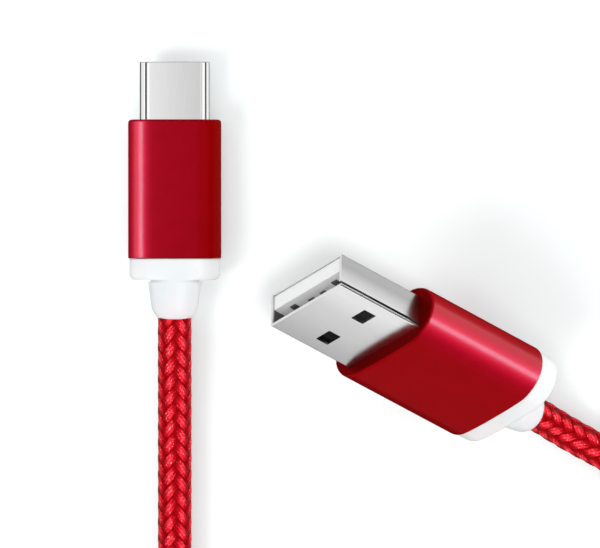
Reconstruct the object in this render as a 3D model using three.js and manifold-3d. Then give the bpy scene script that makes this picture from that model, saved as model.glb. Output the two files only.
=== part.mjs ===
// USB-A to USB-C charging cable: two plugs with anodised sleeves, a braided cord and its coil.
// Millimetres, +Z up. The cable lies on the plane z = 0. The origin is, within 0.3 mm, under the
// middle of the box that holds the two plugs. Each plug is drawn in its own frame: y = 0 is the
// front face of its sleeve, +y points out of its mouth, x runs across its width and z through its
// thickness.

import * as THREE from 'three';
import { mergeVertices } from 'three/addons/utils/BufferGeometryUtils.js';
import Module from 'manifold-3d';

const wasm = await Module();
wasm.setup();

// ---------------------------------------------------------------- driving dimensions

// USB-C plug
const C_SHELL = { width: 8.25, height: 2.4, wall: 0.25, front: 6.8, rear: -5.5 };
const C_SLEEVE = { width: 11.0, height: 5.8, length: 16.4, wall: 0.8, edge: 0.4 };
const C_CAP = { width: 10.7, height: 5.7, length: 2.5, edge: 0.7, boot: 4.55, neck: 2.83 };
const C_CAVITY = { width: 6.9, height: 1.1, floor: 0.3 };
const C_BLOCK = { front: 6.35, rear: -4.6 };
const C_BOARD = { width: 6.0, thickness: 0.7, front: -4.9, rear: -12.4 };
const C_PITCH = 0.5;
const C_CONTACT = { width: 0.24, thickness: 0.12, height: 0.46, front: 5.5, rear: -6.4 };
const C_CONTACT_BEND = { start: 1.6, crest: 0.9, rise: 0.16, lift: 0.02 };
const C_MIDDLE_SLOT = 6.5;
const C_LATCH = { x: 3.18, thickness: 0.15, height: 0.4, rear: -6.2, front: 5.7 };
const C_HOOK = { reach: 0.2, from: 4.9, to: 5.2, length: 0.2 };
const C_LATCH_SLIT = { inner: 3.13, outer: 3.38, height: 0.48 };
const C_SPRING = { width: 4.4, height: 0.42, thickness: 0.09, rear: 5.72, front: 6.2, dip: 0.06 };
const C_RESISTOR = { width: 1.0, length: 0.5, height: 0.35, front: -7.7 };
const C_PAD = { x: 1.6, y: -9.6, gather: -15.0 };
const C_WIRE_ROOM = { width: 7.2, narrow: 4.4, height: 3.0, rear: -13.0, narrowFrom: -12.0 };
const UPPER_ROW = [1, 4, 5, 6, 7, 9, 12];
const LOWER_ROW = [1, 4, 9, 12];

// USB-A plug
const A_SHELL = {
  width: 12.0, height: 4.5, wall: 0.3, front: 12.43, rear: -5.2, corner: 0.25, bend: 0.1,
};
const A_SEAM = { low: 1.62, high: 1.98 };
const A_WINDOW = { offset: 3.0, width: 2.3, length: 1.85, behindMouth: 5.5 };
const A_SLEEVE = { width: 16.8, height: 7.9, length: 17.8, wall: 0.85, edge: 0.4 };
const A_CAP = { width: 16.4, height: 7.6, length: 3.0, edge: 1.0, boot: 3.25, neck: 3.0 };
const A_TONGUE = { recess: 0.2, top: 0.0, blockFront: 1.5, rear: -5.0 };
const A_CONTACT = { width: 1.0, thickness: 0.2, rear: -8.4, slope: 0.3, drop: 0.08 };
const A_OUTER_CONTACT = { offset: 3.5, behindMouth: 1.05 };
const A_INNER_CONTACT = { offset: 1.0, behindMouth: 1.6 };
const A_PAD = { y: -6.2, gather: -14.6 };
const A_WIRE_ROOM = { width: 9.4, narrow: 4.8, height: 2.8, rear: -13.0, narrowFrom: -12.0 };

// Boots, wires and clearances
const BOOT_EDGE = 0.7;
const CORD_BORE = { radius: 2.05, depth: 3.0 };
const WIRE_BORE = 1.7;
const WIRE = { radius: 0.5, inCord: 0.75, straight: 2.2, sides: 8, steps: 14 };
const PAST = 1;
const SPIGOT = 2.0;
const FIT = 0.05;
const FACE_GAP = 0.03;
const GROOVE_GAP = 0.02;

// Where the plugs lie
const C_PLUG_AT = new THREE.Vector3(-19.51, 15.55, C_SLEEVE.height / 2);
const A_PLUG_AT = new THREE.Vector3(5.08, -9.43, 17.3);
const A_HEADING = 61.7;
const A_PITCH = 33.8;
const A_ROLL = -47.1;

// Cord: two free stretches on the floor, then the coil that takes up the rest. A free stretch
// starts at its boot and stops where the coil's outline begins.
const CORD_RADIUS = 2.0;
const CORD_SIDES = 10;
const CORD_STEPS = 11;
const CORD_GAP = 0.3;
const CORD_A_RUN = [
  [22.70, -18.92, 3.90], [23.09, -19.14, 3.60], [24.49, -19.99, 2.74], [25.90, -20.87, 2.25],
  [27.38, -21.74, 2.08], [29.30, -22.81, 2.08], [31.50, -24.02, 2.08], [33.90, -25.58, 2.08],
  [35.90, -27.43, 2.08], [37.38, -29.91, 2.08], [38.31, -32.68, 2.08], [38.62, -35.56, 2.08],
  [38.62, -39.50, 2.08], [38.62, -43.80, 2.20], [38.62, -47.80, 2.45], [38.62, -51.60, 2.70],
];
const CORD_C_RUN = [
  [-19.51, -7.93, 2.90], [-19.51, -10.50, 2.86], [-19.51, -13.50, 2.62], [-19.51, -17.00, 2.25],
  [-19.51, -20.50, 2.08], [-19.51, -25.30, 2.08], [-19.51, -30.50, 2.08], [-19.51, -35.00, 2.08],
  [-19.51, -39.00, 2.24], [-19.51, -43.00, 2.91], [-19.51, -47.00, 3.95], [-19.51, -51.60, 5.30],
];
const COIL = { x: 9.55, y: -67.49, inner: 15.7, outer: 31.15, bottom: 0.85, top: 9.1, edge: 1.4 };
const TIE = {
  inner: 14.85, outer: 31.3, bottom: 0.1, thickness: 0.6, gap: 0.15, width: 9.0, angle: -125,
};
const TIE_CORNER = 1.5;
const TIE_TAIL = { length: 8.0, thickness: 0.55 };

// How finely the curves are divided
const BROAD_ARC = 12;
const SMALL_ARC = 4;
const BEVEL_STEPS = 4;
const ROD_SIDES = 28;
const RING_SIDES = 56;
const WELD = 1e-5;

// ---------------------------------------------------------------- materials

function finish(color, roughness, metalness) {
  return new THREE.MeshStandardMaterial({ color, roughness, metalness });
}

const anodisedRed = finish('#96101c', 0.36, 0.9);
const nickel = finish('#c9c9cb', 0.22, 1.0);
const gold = finish('#c9a04a', 0.3, 1.0);
const white = finish('#eeeef0', 0.45, 0.0);
const black = finish('#222326', 0.5, 0.0);
const clearResin = finish('#d9d6cc', 0.4, 0.0);
const circuitGreen = finish('#1f5a34', 0.5, 0.0);
const redBraid = finish('#b01226', 0.6, 0.1);
const wireColors = {
  red: finish('#b3202a', 0.45, 0.0),
  black: finish('#1d1d20', 0.45, 0.0),
  green: finish('#2f7d46', 0.45, 0.0),
  white: finish('#e6e4df', 0.45, 0.0),
};

// ---------------------------------------------------------------- shape helpers

// A slot outline, two half circles joined by straight sides, in x and z.
function stadium(width, height) {
  const radius = height / 2;
  const reach = width / 2 - radius;
  const shape = new THREE.Shape();
  shape.absarc(reach, 0, radius, -Math.PI / 2, Math.PI / 2, false);
  shape.absarc(-reach, 0, radius, Math.PI / 2, 3 * Math.PI / 2, false);
  shape.closePath();
  return shape;
}

function roundedRect(width, height, radius) {
  const x = width / 2 - radius;
  const z = height / 2 - radius;
  const shape = new THREE.Shape();
  shape.absarc(x, -z, radius, -Math.PI / 2, 0, false);
  shape.absarc(x, z, radius, 0, Math.PI / 2, false);
  shape.absarc(-x, z, radius, Math.PI / 2, Math.PI, false);
  shape.absarc(-x, -z, radius, Math.PI, 3 * Math.PI / 2, false);
  shape.closePath();
  return shape;
}

function polygon(points) {
  return new THREE.Shape(points.map(([a, b]) => new THREE.Vector2(a, b)));
}

// A prism of an x-z outline between two places on the plug's axis, with rounded ends if asked.
function prism(shape, rear, front, edge = 0, segments = 8) {
  const geometry = new THREE.ExtrudeGeometry(shape, {
    depth: front - rear - 2 * edge,
    bevelEnabled: edge > 0,
    bevelThickness: edge,
    bevelSize: edge,
    bevelOffset: -edge,
    bevelSegments: BEVEL_STEPS,
    curveSegments: segments,
  });
  geometry.rotateX(Math.PI / 2);
  geometry.translate(0, front - edge, 0);
  return geometry;
}

function block(x0, x1, y0, y1, z0, z1) {
  const geometry = new THREE.BoxGeometry(x1 - x0, y1 - y0, z1 - z0);
  geometry.translate((x0 + x1) / 2, (y0 + y1) / 2, (z0 + z1) / 2);
  return geometry;
}

// A round rod along the plug's axis from a profile of radius and place.
function turned(profile) {
  const points = profile.map(([radius, y]) => new THREE.Vector2(radius, y));
  return new THREE.LatheGeometry(points, ROD_SIDES);
}

// A flat strip: its side outline in y and z, with a width across x.
function strip(outline, x, width) {
  const geometry = new THREE.ExtrudeGeometry(polygon(outline), { depth: width, bevelEnabled: false });
  geometry.rotateZ(Math.PI / 2);
  geometry.rotateY(Math.PI / 2);
  geometry.translate(x - width / 2, 0, 0);
  return geometry;
}

// A round bar along a curve.
function bar(curve, radius, sides, steps) {
  const section = new THREE.Shape();
  section.absarc(0, 0, radius, 0, 2 * Math.PI, false);
  const outline = new THREE.Shape(section.getPoints(sides).slice(0, sides));
  return new THREE.ExtrudeGeometry(outline, { steps, extrudePath: curve, bevelEnabled: false });
}

function solid(geometry) {
  const bare = geometry.clone();
  bare.deleteAttribute('normal');
  bare.deleteAttribute('uv');
  const merged = mergeVertices(bare, WELD);
  return new wasm.Manifold(new wasm.Mesh({
    numProp: 3,
    vertProperties: new Float32Array(merged.attributes.position.array),
    triVerts: new Uint32Array(merged.index.array),
  }));
}

function surface(manifold) {
  const mesh = manifold.getMesh();
  const geometry = new THREE.BufferGeometry();
  geometry.setAttribute('position', new THREE.BufferAttribute(mesh.vertProperties, 3));
  geometry.setIndex(new THREE.BufferAttribute(mesh.triVerts, 1));
  geometry.computeVertexNormals();
  return geometry;
}

function cut(base, ...tools) {
  return surface(tools.reduce((left, tool) => left.subtract(solid(tool)), solid(base)));
}

function join(base, ...others) {
  return surface(others.reduce((sum, other) => sum.add(solid(other)), solid(base)));
}

function part(name, geometry, material) {
  const mesh = new THREE.Mesh(geometry, material);
  mesh.name = name;
  return mesh;
}

// ---------------------------------------------------------------- pieces that both plugs have

// A drawn cup: open at the rear, with a front wall that the metal shell passes through.
function sleeve(size, shellHole) {
  const { width, height, length, wall, edge } = size;
  const body = prism(stadium(width, height), -length - PAST, 0, edge, BROAD_ARC);
  const rearCut = block(-width, width, -length - 2 * PAST, -length, -height, height);
  const bore = prism(stadium(width - 2 * wall, height - 2 * wall), -length - PAST, -wall);
  return cut(body, rearCut, bore, prism(shellHole, -wall - PAST, PAST));
}

// The white rear closure: a flange behind the sleeve, a spigot inside it and the round boot.
function endCap(size, cup) {
  const top = -cup.length - FACE_GAP;
  const rear = top - size.length;
  const flange = cut(
    prism(stadium(size.width, size.height), rear, top + 2 * PAST, size.edge, BROAD_ARC),
    block(-size.width, size.width, top, top + 3 * PAST, -size.height, size.height),
  );
  const room = 2 * (cup.wall + FIT);
  const spigot = prism(stadium(cup.width - room, cup.height - room), top - PAST, top + SPIGOT);
  const end = rear - size.boot;
  const roundEdge = [0, 30, 60, 90].map((degrees) => {
    const turn = THREE.MathUtils.degToRad(degrees);
    return [
      size.neck - BOOT_EDGE * (1 - Math.sin(turn)),
      end + BOOT_EDGE * (1 - Math.cos(turn)),
    ];
  });
  const boot = turned([[0, end], ...roundEdge, [size.neck, rear + PAST], [0, rear + PAST]]);
  const bore = turned([
    [0, end - PAST],
    [CORD_BORE.radius, end - PAST],
    [CORD_BORE.radius, end + CORD_BORE.depth],
    [WIRE_BORE, end + CORD_BORE.depth],
    [WIRE_BORE, top + 3 * PAST],
    [0, top + 3 * PAST],
  ]);
  return cut(join(flange, spigot, boot), bore);
}

function bootEnd(size, cup) {
  return -cup.length - FACE_GAP - size.length - size.boot;
}

// The resin block that locks the connector into its sleeve, hollow where the wires run.
function innerMould(cup, hollows) {
  const room = 2 * (cup.wall + FIT);
  const rear = -cup.length + SPIGOT + FACE_GAP;
  const body = prism(stadium(cup.width - room, cup.height - room), rear, -cup.wall - FIT);
  return cut(body, ...hollows);
}

// The hollow behind a connector: a wide room for its pads, then a narrow one for the wires.
function wireRoom(room, shellRear, cupLength) {
  const [half, narrow, high] = [room.width / 2, room.narrow / 2, room.height / 2];
  return [
    block(-half, half, room.rear, shellRear, -high, high),
    block(-narrow, narrow, -cupLength, room.narrowFrom, -high, high),
  ];
}

// Four insulated wires from their pads to the cord's bundle.
function wires(prefix, pads, gather, cordEnd) {
  const names = Object.keys(wireColors);
  return pads.map((pad, i) => {
    const [x, z] = [pad.cordX * WIRE.inCord, pad.cordZ * WIRE.inCord];
    const straightEnd = pad.y - WIRE.straight;
    const curve = new THREE.CatmullRomCurve3([
      new THREE.Vector3(pad.x, pad.y, pad.z),
      new THREE.Vector3(pad.x, straightEnd, pad.z),
      new THREE.Vector3((pad.x + x) / 2, (straightEnd + gather) / 2, (pad.z + z) / 2),
      new THREE.Vector3(x, gather, z),
      new THREE.Vector3(x, (gather + cordEnd) / 2, z),
      new THREE.Vector3(x, cordEnd, z),
    ]);
    const skin = bar(curve, WIRE.radius, WIRE.sides, WIRE.steps);
    return part(`${prefix}_wire_${names[i]}`, skin, wireColors[names[i]]);
  });
}

// ---------------------------------------------------------------- USB-C plug

function usbCContact(slot, row) {
  const side = row === 'a' ? 1 : -1;
  const x = side * (slot - C_MIDDLE_SLOT) * C_PITCH;
  const { thickness, height, front, rear, width } = C_CONTACT;
  const half = side * thickness / 2;
  const low = side * height - half;
  const high = side * height + half;
  const crest = side * (height - C_CONTACT_BEND.rise);
  const bendStart = front - C_CONTACT_BEND.start;
  const crestAt = front - C_CONTACT_BEND.crest;
  const outline = [
    [rear, low], [bendStart, low], [crestAt, crest - half], [front, low + side * C_CONTACT_BEND.lift],
    [front, high], [crestAt, crest + half], [bendStart, high], [rear, high],
  ];
  return part(`c_contact_${row}${slot}`, strip(outline, x, width), gold);
}

function usbCLatch(name, side) {
  const { x, thickness, height, rear, front } = C_LATCH;
  const inner = side * x;
  const outer = side * (x + thickness);
  const tip = side * (x - C_HOOK.reach);
  const outline = polygon([
    [inner, rear], [outer, rear], [outer, front], [inner, front],
    [tip, C_HOOK.to + C_HOOK.length], [tip, C_HOOK.to], [inner, C_HOOK.from],
  ]);
  const geometry = new THREE.ExtrudeGeometry(outline, { depth: height, bevelEnabled: false });
  geometry.translate(0, 0, -height / 2);
  return part(name, geometry, nickel);
}

function usbCShieldSpring(name, side) {
  const { width, height, thickness, rear, front, dip } = C_SPRING;
  const middle = (rear + front) / 2;
  const inner = side * height;
  const outer = side * (height + thickness);
  const outline = [
    [rear, inner], [middle, inner - side * dip], [front, inner],
    [front, outer], [middle, outer - side * dip], [rear, outer],
  ];
  return part(name, strip(outline, 0, width), nickel);
}

function usbCContactBlock() {
  const shellRoom = 2 * (C_SHELL.wall + FIT);
  const body = prism(
    stadium(C_SHELL.width - shellRoom, C_SHELL.height - shellRoom), C_BLOCK.rear, C_BLOCK.front,
  );
  const half = C_CAVITY.width / 2;
  const cavity = block(
    -half, half, C_CAVITY.floor, C_BLOCK.front + PAST, -C_CAVITY.height / 2, C_CAVITY.height / 2,
  );
  const slits = [];
  const reach = C_CONTACT.width / 2 + GROOVE_GAP;
  const inner = C_CONTACT.height - C_CONTACT.thickness / 2 - GROOVE_GAP;
  const outer = C_CONTACT.height + C_CONTACT.thickness / 2 + GROOVE_GAP;
  for (const [row, side] of [[UPPER_ROW, 1], [LOWER_ROW, -1]]) {
    for (const slot of row) {
      const x = side * (slot - C_MIDDLE_SLOT) * C_PITCH;
      const [low, high] = side > 0 ? [inner, outer] : [-outer, -inner];
      slits.push(block(x - reach, x + reach, C_BLOCK.rear - PAST, C_CAVITY.floor + PAST, low, high));
    }
  }
  const high = C_LATCH_SLIT.height / 2;
  for (const side of [-1, 1]) {
    const [x0, x1] = [side * C_LATCH_SLIT.inner, side * C_LATCH_SLIT.outer].sort((a, b) => a - b);
    slits.push(block(x0, x1, C_BLOCK.rear - PAST, C_CAVITY.floor + PAST, -high, high));
  }
  return part('c_contact_block', cut(body, cavity, ...slits), black);
}

function usbCPlug() {
  const plug = new THREE.Group();
  const outline = stadium(C_SHELL.width, C_SHELL.height);
  const inside = stadium(C_SHELL.width - 2 * C_SHELL.wall, C_SHELL.height - 2 * C_SHELL.wall);
  const hole = stadium(C_SHELL.width + 2 * FIT, C_SHELL.height + 2 * FIT);
  const shell = cut(
    prism(outline, C_SHELL.rear, C_SHELL.front),
    prism(inside, C_SHELL.rear - PAST, C_SHELL.front + PAST),
  );
  plug.add(part('c_shell', shell, nickel));
  plug.add(usbCContactBlock());
  for (const slot of UPPER_ROW) {
    plug.add(usbCContact(slot, 'a'));
  }
  for (const slot of LOWER_ROW) {
    plug.add(usbCContact(slot, 'b'));
  }
  plug.add(usbCLatch('c_latch_arm_left', -1), usbCLatch('c_latch_arm_right', 1));
  plug.add(usbCShieldSpring('c_shield_spring_upper', 1));
  plug.add(usbCShieldSpring('c_shield_spring_lower', -1));

  const halfBoard = C_BOARD.thickness / 2;
  const board = block(
    -C_BOARD.width / 2, C_BOARD.width / 2, C_BOARD.rear, C_BOARD.front, -halfBoard, halfBoard,
  );
  plug.add(part('c_board', board, circuitGreen));
  const resistorBase = halfBoard + FACE_GAP;
  const resistor = block(
    -C_RESISTOR.width / 2, C_RESISTOR.width / 2, C_RESISTOR.front - C_RESISTOR.length, C_RESISTOR.front,
    resistorBase, resistorBase + C_RESISTOR.height,
  );
  plug.add(part('c_pullup_resistor', resistor, black));

  plug.add(part('c_inner_mould', innerMould(C_SLEEVE, [
    prism(hole, C_SHELL.rear - FIT, PAST),
    ...wireRoom(C_WIRE_ROOM, C_SHELL.rear, C_SLEEVE.length),
  ]), clearResin));
  plug.add(part('c_sleeve', sleeve(C_SLEEVE, hole), anodisedRed));
  plug.add(part('c_end_cap', endCap(C_CAP, C_SLEEVE), white));

  const padHeight = halfBoard + WIRE.radius + FACE_GAP;
  const cordEnd = bootEnd(C_CAP, C_SLEEVE) + CORD_GAP;
  const corners = [[-1, 1], [1, 1], [-1, -1], [1, -1]];
  const pads = corners.map(([x, z]) => (
    { x: x * C_PAD.x, y: C_PAD.y, z: z * padHeight, cordX: x, cordZ: z }
  ));
  plug.add(...wires('c', pads, C_PAD.gather, cordEnd));
  return plug;
}

// ---------------------------------------------------------------- USB-A plug

// The shell is one folded sheet: its two edges meet at a narrow open seam along one corner, and
// each of its broad faces has two square windows for the socket's springs.
function usbAShell() {
  const { width, height, wall, front, rear, corner, bend } = A_SHELL;
  const inside = roundedRect(width - 2 * wall, height - 2 * wall, bend);
  const windows = [-1, 1].map((side) => {
    const x = side * A_WINDOW.offset;
    const top = front - A_WINDOW.behindMouth;
    return block(
      x - A_WINDOW.width / 2, x + A_WINDOW.width / 2, top - A_WINDOW.length, top, -height, height,
    );
  });
  const seam = block(width / 2 - 2 * wall, width, rear - PAST, front + PAST, A_SEAM.low, A_SEAM.high);
  return cut(
    prism(roundedRect(width, height, corner), rear, front, 0, SMALL_ARC),
    prism(inside, rear - PAST, front + PAST, 0, SMALL_ARC),
    seam,
    ...windows,
  );
}

const A_CONTACTS = [
  { name: 'a_contact_power', x: A_OUTER_CONTACT.offset, inset: A_OUTER_CONTACT.behindMouth },
  { name: 'a_contact_data_minus', x: A_INNER_CONTACT.offset, inset: A_INNER_CONTACT.behindMouth },
  { name: 'a_contact_data_plus', x: -A_INNER_CONTACT.offset, inset: A_INNER_CONTACT.behindMouth },
  { name: 'a_contact_ground', x: -A_OUTER_CONTACT.offset, inset: A_OUTER_CONTACT.behindMouth },
];

// The insulator: a full-height block at the rear and a tongue along one broad wall, with a groove
// for each contact.
function usbATongue() {
  const halfWidth = A_SHELL.width / 2 - A_SHELL.wall - FIT;
  const bottom = -A_SHELL.height / 2 + A_SHELL.wall + FIT;
  const front = A_SHELL.front - A_TONGUE.recess;
  const body = join(
    block(-halfWidth, halfWidth, A_TONGUE.rear, front, bottom, A_TONGUE.top),
    block(-halfWidth, halfWidth, A_TONGUE.rear, A_TONGUE.blockFront, bottom, -bottom),
  );
  const reach = A_CONTACT.width / 2 + GROOVE_GAP;
  const depth = A_CONTACT.thickness + GROOVE_GAP;
  const grooves = A_CONTACTS.map(({ x, inset }) => block(
    x - reach, x + reach, A_TONGUE.rear - PAST, A_SHELL.front - inset + GROOVE_GAP,
    A_TONGUE.top - depth, A_TONGUE.top + 2 * GROOVE_GAP,
  ));
  return part('a_tongue', cut(body, ...grooves), white);
}

function usbAContact({ name, x, inset }) {
  const { width, thickness, rear, slope, drop } = A_CONTACT;
  const front = A_SHELL.front - inset;
  const top = A_TONGUE.top;
  const bottom = top - thickness;
  const outline = [[rear, bottom], [front, bottom], [front, top - drop], [front - slope, top], [rear, top]];
  return part(name, strip(outline, x, width), gold);
}

function usbAPlug() {
  const plug = new THREE.Group();
  plug.add(part('a_shell', usbAShell(), nickel));
  plug.add(usbATongue());
  plug.add(...A_CONTACTS.map(usbAContact));

  const holeRadius = A_SHELL.corner + FIT;
  const hole = roundedRect(A_SHELL.width + 2 * FIT, A_SHELL.height + 2 * FIT, holeRadius);
  plug.add(part('a_inner_mould', innerMould(A_SLEEVE, [
    prism(hole, A_SHELL.rear - FIT, PAST),
    ...wireRoom(A_WIRE_ROOM, A_SHELL.rear, A_SLEEVE.length),
  ]), clearResin));
  plug.add(part('a_sleeve', sleeve(A_SLEEVE, hole), anodisedRed));
  plug.add(part('a_end_cap', endCap(A_CAP, A_SLEEVE), white));

  const padHeight = A_TONGUE.top + WIRE.radius + FACE_GAP;
  const cordEnd = bootEnd(A_CAP, A_SLEEVE) + CORD_GAP;
  const outer = A_OUTER_CONTACT.offset;
  const inner = A_INNER_CONTACT.offset;
  const places = [[outer, 1, 1], [-outer, -1, 1], [-inner, -1, -1], [inner, 1, -1]];
  const pads = places.map(([x, cordX, cordZ]) => ({ x, y: A_PAD.y, z: padHeight, cordX, cordZ }));
  plug.add(...wires('a', pads, A_PAD.gather, cordEnd));
  return plug;
}

// ---------------------------------------------------------------- cord, coil and tie

function cordRun(name, places) {
  const points = places.map(([x, y, z]) => new THREE.Vector3(x, y, z));
  const away = points[1].clone().sub(points[0]).normalize();
  points[0].addScaledVector(away, CORD_GAP);
  const curve = new THREE.CatmullRomCurve3(points);
  return part(name, bar(curve, CORD_RADIUS, CORD_SIDES, CORD_STEPS), redBraid);
}

// The outer shape of the coil: a flat ring with softened edges.
function coil() {
  const { inner, outer, bottom, top, edge } = COIL;
  const section = roundedRect(outer - inner, top - bottom, edge).getPoints(3);
  const middle = new THREE.Vector2((inner + outer) / 2, (bottom + top) / 2);
  const profile = section.map((point) => point.add(middle));
  profile.push(profile[0].clone());
  const ring = new THREE.LatheGeometry(profile, RING_SIDES);
  ring.rotateX(Math.PI / 2);
  const mesh = part('cord_coil', ring, redBraid);
  mesh.position.set(COIL.x, COIL.y, 0);
  return mesh;
}

// A strap around the coil's bundle, with its loose end folded back on top.
function tie() {
  const { inner, outer, bottom, thickness, gap, width } = TIE;
  const opening = { width: outer - inner, height: COIL.top + gap - bottom - thickness };
  const top = opening.height / 2 + thickness;
  const outside = roundedRect(opening.width + 2 * thickness, 2 * top, TIE_CORNER + thickness);
  const inside = roundedRect(opening.width, opening.height, TIE_CORNER);
  const loop = cut(
    prism(outside, -width / 2, width / 2, 0, SMALL_ARC),
    prism(inside, -width / 2 - PAST, width / 2 + PAST, 0, SMALL_ARC),
  );
  const tail = block(
    -TIE_TAIL.length / 2, TIE_TAIL.length / 2, -width / 2, width / 2, top - thickness / 2,
    top + TIE_TAIL.thickness,
  );
  const strap = join(loop, tail);
  strap.translate((inner + outer) / 2, 0, bottom + top);
  const mesh = part('cable_tie', strap, black);
  mesh.rotation.z = THREE.MathUtils.degToRad(TIE.angle);
  mesh.position.set(COIL.x, COIL.y, 0);
  return mesh;
}

// ---------------------------------------------------------------- assembly

const cPlug = usbCPlug();
cPlug.position.copy(C_PLUG_AT);

const aPlug = usbAPlug();
aPlug.position.copy(A_PLUG_AT);
aPlug.rotation.set(
  THREE.MathUtils.degToRad(A_PITCH),
  THREE.MathUtils.degToRad(A_ROLL),
  THREE.MathUtils.degToRad(A_HEADING),
  'ZXY',
);

const cable = new THREE.Group();
cable.add(cPlug, aPlug);
cable.add(cordRun('cord_a_run', CORD_A_RUN), cordRun('cord_c_run', CORD_C_RUN), coil(), tie());

export default cable;
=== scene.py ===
# A braided USB-A to USB-C charging cable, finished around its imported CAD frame.
# Lengths are in millimetres until a mesh, camera or light is made, which is in metres. Each plug
# has its own frame: y = 0 is the front face of its sleeve, +y points out of its mouth, x runs
# across its width and z through its thickness.
import math

import bmesh
import bpy
import numpy as np
from mathutils import Matrix, Vector


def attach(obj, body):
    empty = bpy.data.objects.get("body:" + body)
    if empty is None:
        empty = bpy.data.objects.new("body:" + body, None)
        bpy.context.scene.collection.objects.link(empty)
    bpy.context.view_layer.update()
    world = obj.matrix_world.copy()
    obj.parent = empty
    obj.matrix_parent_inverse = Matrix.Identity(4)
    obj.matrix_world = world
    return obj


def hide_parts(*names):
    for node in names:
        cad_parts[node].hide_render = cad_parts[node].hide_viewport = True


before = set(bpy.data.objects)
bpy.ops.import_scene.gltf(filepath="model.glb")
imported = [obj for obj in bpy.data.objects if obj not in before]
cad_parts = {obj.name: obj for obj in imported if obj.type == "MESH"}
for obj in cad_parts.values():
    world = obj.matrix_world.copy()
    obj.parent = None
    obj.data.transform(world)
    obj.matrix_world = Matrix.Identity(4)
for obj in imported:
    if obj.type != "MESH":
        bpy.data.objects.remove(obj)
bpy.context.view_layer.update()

MM = 0.001

# ---------------------------------------------------------------- driving dimensions

C_SHELL = dict(width=8.25, height=2.4, wall=0.25, front=6.8, rear=-5.5)
C_SLEEVE = dict(width=11.0, height=5.8, length=16.4, wall=0.8, edge=0.4)
C_CAP = dict(width=10.7, height=5.7, length=2.5, edge=0.7, boot=4.55, neck=2.83)

A_SHELL = dict(width=12.0, height=4.5, wall=0.3, front=12.43, rear=-5.2, corner=0.25, bend=0.1)
A_SEAM = (1.62, 1.98)
A_WINDOW = dict(offset=3.0, width=2.3, length=1.85, behind_mouth=5.5, corner=0.12)
A_SLEEVE = dict(width=16.8, height=7.9, length=17.8, wall=0.85, edge=0.4)
A_CAP = dict(width=16.4, height=7.6, length=3.0, edge=1.0, boot=3.25, neck=3.0)

BOOT = dict(taper=[(0.0, 1.5), (0.06, 1.1), (0.18, 0.7), (0.40, 0.30), (0.58, 0.07), (0.66, 0.0)],
            bow=0.40, draft=0.32, fillet=0.3)
BORE = dict(radius=2.1, depth=3.0, chamfer=0.05)
WIRE_BORE = 1.7
SPIGOT = 2.0
FACE_GAP = 0.03
FIT = 0.05
SNUG = 0.012
CROWN = 0.12
SHELL_CROWN = 0.08
SHELL_ARC = 16
LIP_SHARE = 0.8
FACES_FRONT = 0.9

C_PLUG = Matrix.Translation(Vector((-19.51, 15.55, 2.9)) * MM)
A_PLUG = (
    Matrix.Translation(Vector((5.08, -9.43, 17.3)) * MM)
    @ Matrix.Rotation(math.radians(61.7), 4, "Z")
    @ Matrix.Rotation(math.radians(33.8), 4, "X")
    @ Matrix.Rotation(math.radians(-47.1), 4, "Y")
)

# The cord's route from the USB-C boot to the USB-A boot, and the coil between them.
CORD_C_RUN = [
    (-19.51, -7.93, 2.90), (-19.51, -10.50, 2.86), (-19.51, -13.50, 2.62), (-19.51, -17.00, 2.25),
    (-19.51, -20.50, 2.08), (-19.51, -25.30, 2.08), (-19.51, -30.50, 2.08), (-19.51, -35.00, 2.08),
    (-19.51, -39.00, 2.24), (-19.51, -43.00, 2.91), (-19.51, -47.00, 3.95), (-19.51, -51.60, 5.30),
    (-19.51, -56.00, 6.38), (-19.51, -61.00, 6.98),
]
CORD_A_RUN = [
    (22.70, -18.92, 3.90), (23.09, -19.14, 3.60), (24.49, -19.99, 2.74), (25.90, -20.87, 2.25),
    (27.38, -21.74, 2.08), (29.30, -22.81, 2.08), (31.50, -24.02, 2.08), (33.90, -25.58, 2.08),
    (35.90, -27.43, 2.08), (37.38, -29.91, 2.08), (38.31, -32.68, 2.08), (38.62, -35.56, 2.08),
    (38.62, -39.50, 2.08), (38.62, -43.80, 2.20), (38.62, -47.80, 2.45), (38.62, -51.60, 2.70),
    (38.62, -57.00, 2.88), (38.62, -62.50, 2.90),
]
COIL = dict(x=9.55, y=-67.49, radius=29.06, turns=5.5, pitch=4.1, low=2.9, high=7.0, climb=(2.5, 3.0))
COIL_POINTS_PER_TURN = 24
IN_BOOT = 2.4

# The braid: 16 carriers, 8 each way, over two and under two.
BRAID = dict(strands=8, repeat=1.875, core=1.74, wave=0.12, strand=0.18, fill=0.97, yarns=3)
BRAID_FINE = dict(round=80, per_repeat=12)
BRAID_COARSE = dict(round=40, per_repeat=4)
# Phase of the painted shade between the braid's ribs.
RIB_SHADE_PHASE = 0.27
BRAID_TURN = 7.0
C_SEEN = 34.5
A_SEEN = 13.5
ROUTE_STEP = 0.25
STRAND_SEED = 3.7

TIE = dict(inner=14.85, outer=31.3, bottom=0.1, thickness=0.6, height=9.75, width=9.0, angle=-125.0)
TIE_WEAVE = dict(corner=1.8, arc=12, edge=0.18, selvedge=0.7, step=0.08, slope=0.15)
TIE_TAIL = dict(length=8.0, thickness=0.55, corner=2.2, arc=8, edge=0.12)
TIE_CREASE = 50.0

# Painted reflection on the USB-A shell, darker to lighter by |x + TONE_SLOPE z| across its section, a
# painted highlight on the outside rim of its mouth, and a painted lit band just inside it.
TONE_SLOPE = 4.0
TONE_REACH = 15.0
A_PAINTED_SHADES = [(0.0, 0.60), (3.0, 0.58), (5.0, 0.66), (7.5, 0.78), (10.5, 0.87), (13.5, 1.06)]
RIM_HIGHLIGHT = (0.07, 0.02)
RIM_LIT_BAND = (0.30, 0.22)

CAMERA = dict(x=-4.71, y=-2.685, focus=9.0, picture=70.59, lens=800.0, sensor=36.0)
STRIP = dict(length=500, distance=250, middle=-8)
DOME_LEAN = 15

# ---------------------------------------------------------------- mesh helpers

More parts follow.
